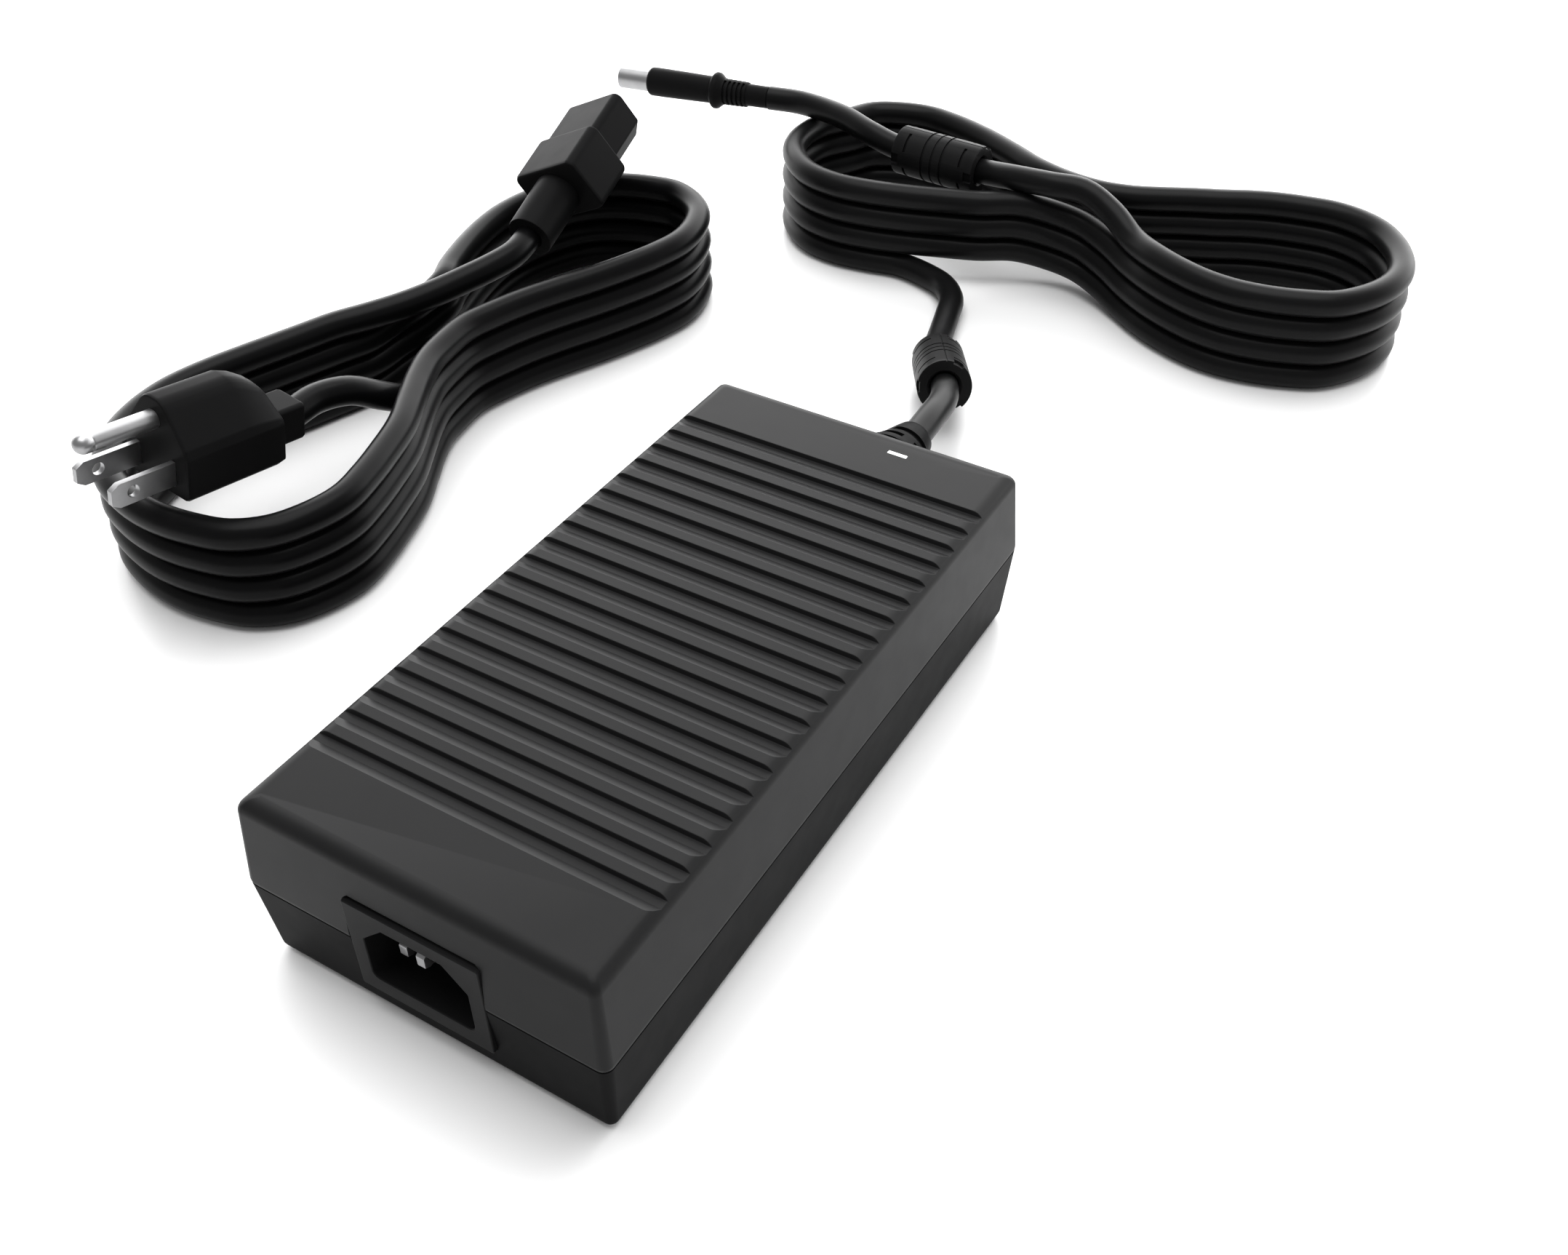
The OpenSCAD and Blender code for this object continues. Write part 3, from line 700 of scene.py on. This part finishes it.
def top_shell():
    """Upper cover: a narrow flat rim inside the rounded edge, cross grooves, and a cover that is
    thinner than the walls under the grooves."""
    chamfer = 0.2 * MM
    rim_w = 0.4 * MM
    thinner = 0.8 * MM
    walls = [
        (wall_inset(z) + gap, z)
        for z, gap in ((PARTING_Z, chamfer), (PARTING_Z + 0.1 * MM, 0), (PARTING_Z + 1 * MM, 0))
    ]
    fillet = [
        (TOP_LEAN + EDGE_R - x, BRICK_H - EDGE_R + z) for x, z in arc((0, 0), EDGE_R, 0, 90)
    ]
    rim = (TOP_LEAN + EDGE_R + rim_w, BRICK_H)
    bm = shell_bm(walls + fillet + [rim])
    ceiling = BRICK_H - GROOVE_D - WALL + thinner
    low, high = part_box("light_window")
    window = box_bm((low[0], low[1], ceiling - 1 * MM), (high[0], high[1], BRICK_H + 1 * MM))
    bm = carve(bm, [
        hollow_bm(0, ceiling), groove_cutters(), housing_cutter(), relief_cutter(), window,
    ])
    bm = softened(bm, SHELL_SOFT)
    mesh_data = finish_mesh("top_shell", bm, smooth_angle=GROOVE_SMOOTH_ANGLE)
    piece = new_piece("top_shell", mesh_data, "grey_shell", "adapter")
    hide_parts("top_cover")


# Inlet

def inlet_outline(width, height, cut, soft):
    """The inlet's six-sided outline: its upper corners are cut by `cut`."""
    x = width / 2
    z = height / 2
    corners = [(-x, -z), (x, -z), (x, z - cut), (x - cut, z), (cut - x, z), (-x, z - cut)]
    return rounded_outline(corners, [soft, soft] + [soft / 2] * 4)


UPRIGHT = Matrix(((1, 0, 0, 0), (0, 0, -1, 0), (0, 1, 0, 0), (0, 0, 0, 1)))


def inlet_housing():
    """Insulating block with the shaped socket; its face stands upright in the leaning wall."""
    outline = rounded_outline(
        rectangle(
            INLET_HIGH[0], (INLET_HIGH[2] - INLET_LOW[2]) / 2,
            (0, (INLET_HIGH[2] + INLET_LOW[2]) / 2),
        ),
        [0.5 * MM] * 4, steps=3,
    )
    body = prism_bm(outline, -INLET_HIGH[1], -INLET_LOW[1])
    cavity = prism_bm(
        inlet_outline(CAVITY_W, CAVITY_H, CAVITY_CUT, soft=1.6 * MM),
        BRICK_HALF_L - CAVITY_D, BRICK_HALF_L + 1 * MM,
    )
    bmesh.ops.translate(cavity, vec=(0, CAVITY_Z, 0), verts=cavity.verts)
    bm = softened(carve(body, [cavity]), 0.3 * MM, segments=3)
    mesh_data = finish_mesh("inlet_socket", bm, UPRIGHT)
    piece = new_piece("inlet_socket", mesh_data, "black_plastic", "adapter")
    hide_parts("inlet_housing")


def inlet_blades():
    """Three flat blades with chamfered tips, and their tails down to the board."""
    tail = 1.5 * MM
    thick = 4 * MM
    tip = 0.7 * MM
    slant = 1.2 * MM
    for name in ("line", "neutral", "earth"):
        node = "inlet_blade_" + name
        low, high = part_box(node)
        x = (low[0] + high[0]) / 2
        half = (high[0] - low[0]) / 2
        bottom = high[2] - thick
        outline = [
            (low[1], bottom + tip), (low[1] + slant, bottom), (high[1] - tail, bottom),
            (high[1] - tail, low[2]), (high[1], low[2]), (high[1], high[2]),
            (low[1] + slant, high[2]), (low[1], high[2] - tip),
        ]
        bm = skin_rings(bmesh.new(), [[(x + side, *p) for p in outline] for side in (-half, half)])
        bm = softened(bm, 0.2 * MM, angle=25)
        piece = new_piece("blade_" + name, finish_mesh("blade_" + name, bm), "bright_metal", "adapter")
        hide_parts(node)


def indicator_window():
    """Light window, flush with the top."""
    low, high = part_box("light_window")
    centre = ((low[0] + high[0]) / 2, (low[1] + high[1]) / 2)
    gap = 0.05 * MM
    half = ((high[0] - low[0]) / 2 - gap, (high[1] - low[1]) / 2 - gap)
    outline = rounded_outline(rectangle(*half, centre), [0.08 * MM] * 4, steps=3)
    bm = softened(prism_bm(outline, low[2], high[2]), 0.03 * MM)
    piece = new_piece("indicator", finish_mesh("indicator", bm), "window", "adapter")
    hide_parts("light_window")


# Output lead

def strain_relief():
    """Tapered, segmented sleeve where the output cord leaves the brick."""
    def r_at(z):
        stations = [(0, 10.4), (7.5, 10.2), (14.5, 9.3), (19.5, 7.4), (24.5, 6.2), (28, 5.2)]
        for (z0, r0), (z1, r1) in zip(stations, stations[1:]):
            if z <= z1:
                return r0 + (r1 - r0) * (z - z0) / (z1 - z0)
        return stations[-1][1]

    inner = [(0.02, -5.9), (8, -5.9), (8, -4), (6, -4), (6, 0)]
    outer = [(r_at(z), z) for z in (0, 3, 6, 9, 12, 14.5, 17, 19.5, 22, 24.5, 26.5, 27.6)]
    end = [(4.9, 28), (4.1, 28), (4.1, 26), (0.02, 26)]
    profile = [(r * MM, z * MM) for r, z in inner + outer + end]
    rows = 5
    pitch = 4.4
    slot_w = 2.2
    slot_sweep = 96
    pockets = []
    for row in range(rows):
        z = 2.4 + pitch * row
        depth = 1.6 - 0.18 * row
        for k in range(3):
            start = 120 * k + 60 * (row % 2) + 8
            pockets.append((z * MM, (z + slot_w) * MM, start, start + slot_sweep, depth * MM))
    at = Matrix.Translation((0, BRICK_HALF_L, RELIEF_Z)) @ Matrix.Rotation(-pi / 2, 4, "X")
    bm = lathe(profile, pockets=pockets)
    piece = new_piece("cord_relief", finish_mesh("cord_relief", bm, at), "soft_black", "adapter")
    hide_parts("strain_relief")
    return piece


def ferrite_cover(name, near, far, node):
    """Two-part plastic cover: bands in the middle, slots at both ends, a seam along each side."""
    length = (far - near).length / MM
    middle = length / 2
    outer = 7.9
    inner = outer - 1.2
    bore = 4.3
    end_wall = 1.5
    profile = [
        (bore, end_wall), (bore, 0.8), (5, 0), (outer - 0.4, 0), (outer - 0.1, 0.1), (outer, 0.4),
        (outer, middle), (outer, length - 0.4), (outer - 0.1, length - 0.1),
        (outer - 0.4, length), (5, length), (bore, length - 0.8), (bore, length - end_wall),
        (inner, length - end_wall), (inner, end_wall),
    ]
    pockets = [
        (middle - 3.9, middle - 3.1, 0, 360, 0.4), (middle + 3.1, middle + 3.9, 0, 360, 0.4),
        (middle - 0.35, middle + 0.35, 0, 360, 0.3),
    ]
    for end in (1, -1):
        for start in (20, 110, 200, 290):
            edge = 4.6 if end > 0 else length - 4.6
            pockets.append((edge - 0.45, edge + 0.45, start, start + 50, 0.7))
        for centre in (90, 210, 330):
            low, high = (-1, 2.6) if end > 0 else (length - 2.6, length + 1)
            pockets.append((low, high, centre - 12, centre + 12, 0.7))
    for seam in (0, 180):
        pockets.append((-1, length + 1, seam + 1, seam + 3.5, 0.25))
    scaled = [(z0 * MM, z1 * MM, a, b, depth * MM) for z0, z1, a, b, depth in pockets]
    bm = lathe([(r * MM, z * MM) for r, z in profile], pockets=scaled, closed=True)
    piece = new_piece(name, finish_mesh(name, bm, along(near, far)), "black_plastic", "adapter")
    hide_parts(node)
    return piece


PLUG_BASE = PLUG_ROUTE[-1]
SLEEVE = 8.4 * MM
RIBS = 9.2 * MM
COLLAR = 4.8 * MM
GRIP = 24 * MM
GRIP_FROM = SLEEVE + RIBS + COLLAR
BARREL_FROM = GRIP_FROM + GRIP


def output_plug():
    """Sleeve, ribbed stretch, collar, grip, then the metal barrel with its lining and pin."""
    def ribbed():
        sleeve = [(0.02, 0), (3.2, 0), (3.7, 0.5), (3.75, 8), (4.2, 8.4)]
        ribs = [(4.3, 9), (4.4, 13), (4.5, 17.2), (5, 18)]
        collar = [
            (6, 19.2), (6.2, 19.8), (6.2, 20.6), (5.9, 21.1), (4.75, 21.9), (4.7, 22.4), (0.02, 22.4),
        ]
        rows = 5
        pitch = 1.75
        slot_w = 0.85
        slot_sweep = 160
        depth = 0.75
        pockets = []
        for row in range(rows):
            z = 9 + pitch * row
            for start in (10, 190):
                pockets.append((z * MM, (z + slot_w) * MM, start, start + slot_sweep, depth * MM))
        return lathe([(r * MM, z * MM) for r, z in sleeve + ribs + collar], pockets=pockets)

    def grip():
        r = 1.5
        nose = arc((4.9 - r, 24 - r), r, 0, 90, 6)
        profile = [(0.02, 0), (4.45, 0), (4.6, 0.3), (4.75, 8), (4.9, 18)] + nose + [(0.02, 24)]
        return lathe([(r * MM, z * MM) for r, z in profile])

    def barrel():
        outer = 3.7
        bore = outer - 0.6
        profile = [
            (bore, 0), (outer, 0), (outer, 11), (outer - 0.1, 11.25), (outer - 0.2, 11.4),
            (bore + 0.1, 11.4), (bore, 11.3),
        ]
        return lathe([(r * MM, z * MM) for r, z in profile], closed=True)

    def lining():
        profile = [
            (0.02, 0), (3.1, 0), (3.1, 10.6), (2.9, 10.8), (2.6, 10.8), (2.5, 10.6), (2.5, 1), (0.02, 1),
        ]
        return lathe([(r * MM, z * MM) for r, z in profile])

    def pin():
        profile = [(0.02, 1), (0.4, 1), (0.4, 9), (0.3, 9.3), (0.02, 9.4)]
        return lathe([(r * MM, z * MM) for r, z in profile], 24)

    made = []
    for name, shape, skip, slot_name, node in (
        ("output_relief", ribbed, 0, "soft_black", "plug_relief"),
        ("output_grip", grip, GRIP_FROM, "soft_black", "plug_grip"),
        ("output_barrel", barrel, BARREL_FROM, "bright_metal", "plug_barrel"),
        ("barrel_lining", lining, BARREL_FROM, "soft_black", "plug_insulator"),
        ("barrel_pin", pin, BARREL_FROM, "bright_metal", "plug_pin"),
    ):
        place = along(PLUG_BASE, PLUG_TIP, skip)
        piece = new_piece(name, finish_mesh(name, shape(), place), slot_name, "adapter")
        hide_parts(node)
        made.append(piece)
    return made


def output_lead():
    feed = with_ferrite(FEED_ROUTE, *FERRITE_1)
    plug = with_ferrite(PLUG_ROUTE, *FERRITE_2)
    coil = hank_points(OUTPUT_TURN, first=4, last=len(OUTPUT_TURN) - 5, climb=4)
    path = smooth_path(feed + coil + plug)
    cord = cord_curve("output_cord", path, MATERIALS["cord_output"])
    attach(cord, "adapter")
    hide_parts("feed_cord", "output_hank", "plug_cord")
    pieces = [strain_relief()]
    pieces.append(ferrite_cover("ferrite_1", *FERRITE_1, "ferrite_cover_1"))
    pieces.append(ferrite_cover("ferrite_2", *FERRITE_2, "ferrite_cover_2"))
    pieces += output_plug()
    pieces += [frame["nodes"][name] for name in ("ferrite_core_1", "ferrite_core_2")]


# Mains lead

CONNECTOR = turned((-0.1454, 0.1536, 0.0399), climb=17.5, roll=-26.7, heading=7.5)
WALL_PLUG = turned((-0.14, -0.0125, 0.0404), climb=9.4, roll=-5.2, heading=176)


def sections_bm(sections):
    """A loft along +Y: each section is (y, outline of (x, z) points)."""
    return skin_rings(bmesh.new(), [[(x, y, z) for x, z in outline] for y, outline in sections])


def grown(outline, amount, centre=(0, 0)):
    """The outline moved in or out by about `amount`, seen from its centre."""
    points = []
    for p in outline:
        arm = Vector(p) - Vector(centre)
        points.append(Vector(centre) + arm * (1 + amount / arm.length))
    return points


def connector_piece(name, shape, node):
    piece = new_piece(name, finish_mesh(name, shape, CONNECTOR), "soft_black", "mains_lead")
    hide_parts(node)
    return piece


def connector_body():
    """Rear grip with soft corners, then the shaped nose with its three slots."""
    grip_l = 17.5 * MM
    nose_l = 17.5 * MM
    back = rounded_outline(rectangle(13.2 * MM, 9.2 * MM), [2.8 * MM] * 4)
    fit = inlet_outline(width=23.8 * MM, height=15.8 * MM, cut=4.6 * MM, soft=2.4 * MM)
    nose = [Vector((p.x, -p.y)) for p in reversed(fit)]
    rear = 1.2 * MM
    grip = sections_bm([
        (0, grown(back, -rear)), (0.35 * MM, grown(back, -0.4 * MM)), (rear, back),
        (grip_l - 0.8 * MM, back), (grip_l - 0.2 * MM, grown(back, -0.25 * MM)),
        (grip_l, grown(back, -0.8 * MM)),
    ])
    tip = sections_bm([
        (grip_l - 3 * MM, nose), (grip_l + nose_l - 0.5 * MM, nose),
        (grip_l + nose_l - 0.15 * MM, grown(nose, -0.15 * MM)),
        (grip_l + nose_l, grown(nose, -0.5 * MM)),
    ])
    bm = carve(grip, [tip], "UNION")
    slots = []
    half_x = 1.5 * MM
    half_z = 2.7 * MM
    depth = 16 * MM
    front = grip_l + nose_l
    for x, z in ((-LINE_X, 1.5 * MM), (LINE_X, 1.5 * MM), (0, -2.5 * MM)):
        slots.append(box_bm(
            (x - half_x, front - depth, z - half_z), (x + half_x, front + 1 * MM, z + half_z)
        ))
    bm = carve(bm, slots)
    return connector_piece("connector_shell", softened(bm, 0.25 * MM, angle=50), "connector_body")


def connector_relief():
    """Round sleeve behind the connector, with a short bore for the cord."""
    profile = [
        (0.02, 0), (7.2, 0), (7.3, -0.3), (7.2, -10), (7.1, -19.6), (7, -19.9), (6.7, -20),
        (4.15, -20), (4.05, -19.9), (4.05, -17), (0.02, -17),
    ]
    bm = lathe([(r * MM, -z * MM) for r, z in profile])
    bmesh.ops.transform(bm, matrix=Matrix.Rotation(pi / 2, 4, "X"), verts=bm.verts)
    return connector_piece("connector_sleeve", bm, "connector_relief")


def wall_plug_piece(name, shape, node, slot_name):
    piece = new_piece(name, finish_mesh(name, shape, WALL_PLUG), slot_name, "mains_lead")
    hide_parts(node)
    return piece


def wall_plug_outline(drop=0):
    """Section of the wall plug: wide at the blades, narrow above the earth pin. Its ridge is
    lowered by `drop`, in mm, and the shoulders below it by less."""
    waist = 5
    rise = 12.6
    lower = [(10.2, -6.6), (11.4, -5.4), (11.4, waist)]
    upper = [(10.6, 7.4), (4.4, 16), (2.4, 17.6)]
    half = lower + [(x, z - drop * (z - waist) / rise) for x, z in upper]
    corners = half + [(-x, z) for x, z in reversed(half)]
    radii = [1, 1, 2, 2, 8, 4] + [4, 8, 2, 2, 1, 1]
    return rounded_outline(
        [(x * MM, z * MM) for x, z in corners], [r * MM for r in radii], steps=4
    )


def wall_plug_body():
    """Moulded body, from its face at the blades back to the cord, where its ridge slopes down."""
    centre = (0, 4 * MM)
    face = wall_plug_outline()
    bm = sections_bm([
        (0, grown(face, -0.8 * MM, centre)), (-0.2 * MM, grown(face, -0.3 * MM, centre)),
        (-0.8 * MM, face), (-19 * MM, face),
        (-23 * MM, wall_plug_outline(1.5)), (-27 * MM, wall_plug_outline(4)),
        (-29.2 * MM, grown(wall_plug_outline(6), -0.4 * MM, centre)),
        (-30 * MM, grown(wall_plug_outline(7), -1.6 * MM, centre)),
    ])
    return wall_plug_piece("wall_plug_shell", bm, "mains_plug", "soft_black")


def wall_plug_relief():
    """Square block between the plug and its cord."""
    half = 5.2 * MM
    centre = (0, -1 * MM)
    outline = rounded_outline(rectangle(half, half, centre), [1.2 * MM] * 4)
    bm = sections_bm([
        (-29.5 * MM, outline), (-40 * MM, outline), (-40.7 * MM, grown(outline, -0.3 * MM, centre)),
        (-41 * MM, grown(outline, -1 * MM, centre)),
    ])
    return wall_plug_piece("wall_plug_block", bm, "mains_plug_relief", "soft_black")


def wall_blade(side, node):
    """Flat blade with cut corners and a hole, on one side of the plug."""
    half = 3.175
    straight = 15.4
    tip = 17.5
    cut = 1.3
    half_thick = 0.75 * MM
    hole_r = 1.6 * MM
    hole_at = 11.7 * MM
    half_spacing = 6.35
    outline = [
        (0, -half), (straight, -half), (tip, -half + cut),
        (tip, half - cut), (straight, half), (0, half),
    ]
    bm = prism_bm([(y * MM, z * MM) for y, z in outline], -half_thick, half_thick)
    hole = lathe([(hole_r, -2 * MM), (hole_r, 2 * MM)], 32)
    bmesh.ops.translate(hole, vec=(hole_at, 0, 0), verts=hole.verts)
    bm = softened(carve(bm, [hole]), 0.1 * MM)
    onto = Matrix(((0, 0, 1, side * half_spacing * MM), (1, 0, 0, 0), (0, 1, 0, 0), (0, 0, 0, 1)))
    bmesh.ops.transform(bm, matrix=onto, verts=bm.verts)
    return wall_plug_piece("wall_" + node, bm, node, "bright_metal")


def earth_pin():
    """Round pin with a shallow ring behind its domed tip."""
    r = 2.4
    ring = r - 0.12
    height = 11.9 * MM
    dome = arc((0, 18.6), r, 0, 85, 10)
    profile = [(0.02, 0), (r, 0), (r, 16.6), (ring, 16.8), (ring, 17.1), (r, 17.3)]
    profile += dome + [(0.02, 21)]
    bm = lathe([(x * MM, z * MM) for x, z in profile], 48)
    place = Matrix.Translation((0, 0, height)) @ Matrix.Rotation(-pi / 2, 4, "X")
    bmesh.ops.transform(bm, matrix=place, verts=bm.verts)
    return wall_plug_piece("wall_earth_pin", bm, "mains_earth_pin", "bright_metal")


def mains_lead():
    coil = hank_points(MAINS_TURN, first=0, last=len(MAINS_TURN) - 4, climb=3)
    route = WALL_PLUG_ROUTE[:-1] + coil[:-1] + CONNECTOR_ROUTE
    route.reverse()
    path = smooth_path(route)
    cord = cord_curve("mains_cord", path, MATERIALS["cord_mains"])
    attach(cord, "mains_lead")
    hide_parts("connector_cord", "mains_hank", "mains_plug_cord")
    pieces = [connector_body(), connector_relief(), wall_plug_body(), wall_plug_relief()]
    pieces += [wall_blade(-1, "mains_blade_line"), wall_blade(1, "mains_blade_neutral"), earth_pin()]
    pieces += [frame["nodes"][name] for name in ("contact_line", "contact_neutral", "contact_earth")]


# What is kept from the CAD model

def paint_nodes():
    """Gives each CAD node the material of its slot."""
    for part in frame["record"]["subparts"]:
        node = frame["nodes"][part["node"]]
        material = MATERIALS[part["material_slot"]]
        for held in node.material_slots:
            held.material = material
        if not node.material_slots:
            node.data.materials.append(material)


# Stage

def make_floor():
    bm = bmesh.new()
    reach = 12
    corners = [(-reach, -reach, 0), (reach, -reach, 0), (reach, reach, 0), (-reach, reach, 0)]
    bm.faces.new([bm.verts.new(c) for c in corners])
    data = bpy.data.meshes.new("floor")
    bm.to_mesh(data)
    bm.free()
    floor = bpy.data.objects.new("floor", data)
    bpy.context.scene.collection.objects.link(floor)
    material, nodes, links, shader = node_material("white_table")
    place = nodes.new("ShaderNodeTexCoord")
    cloudy = noise(nodes, links, place, 3)
    links.new(
        tinted(nodes, links, cloudy.outputs["Fac"], (0.92, 0.92, 0.92), (0.93, 0.93, 0.93)),
        shader.inputs["Base Color"],
    )
    shader.inputs["Roughness"].default_value = 0.3
    floor.data.materials.append(material)


def area_light(name, at, toward, size, power):
    data = bpy.data.lights.new(name, "AREA")
    data.shape = "RECTANGLE"
    data.size, data.size_y = size
    data.energy = power
    light = bpy.data.objects.new(name, data)
    light.location = at
    light.rotation_euler = (Vector(toward) - Vector(at)).to_track_quat("-Z", "Y").to_euler()
    bpy.context.scene.collection.objects.link(light)


def make_lights():
    """A soft light overhead, and a room that is bright low down behind the object and to its
    left, and dim in front."""
    area_light("overhead", at=(-0.05, 0.15, 1.6), toward=(-0.03, 0.1, 0), size=(1.4, 1.4), power=26)
    world = bpy.data.worlds.new("studio")
    world.use_nodes = True
    nodes = world.node_tree.nodes
    links = world.node_tree.links
    place = nodes.new("ShaderNodeTexCoord")
    toward = nodes.new("ShaderNodeVectorMath")
    toward.operation = "DOT_PRODUCT"
    toward.inputs[1].default_value = (-0.4, 1, -0.5)
    links.new(place.outputs["Generated"], toward.inputs[0])
    fade = nodes.new("ShaderNodeMapRange")
    fade.inputs["From Min"].default_value = 0
    fade.inputs["From Max"].default_value = 0.65
    fade.inputs["To Min"].default_value = 0.4
    fade.inputs["To Max"].default_value = 5.2
    links.new(toward.outputs["Value"], fade.inputs["Value"])
    background = nodes["Background"]
    background.inputs["Color"].default_value = (1, 1, 1, 1)
    links.new(fade.outputs["Result"], background.inputs["Strength"])
    bpy.context.scene.world = world
    bpy.context.scene.view_settings.view_transform = "Standard"


make_camera()
paint_nodes()
output_lead()
mains_lead()
bottom_shell()
top_shell()
inlet_housing()
inlet_blades()
indicator_window()
make_floor()
make_lights()
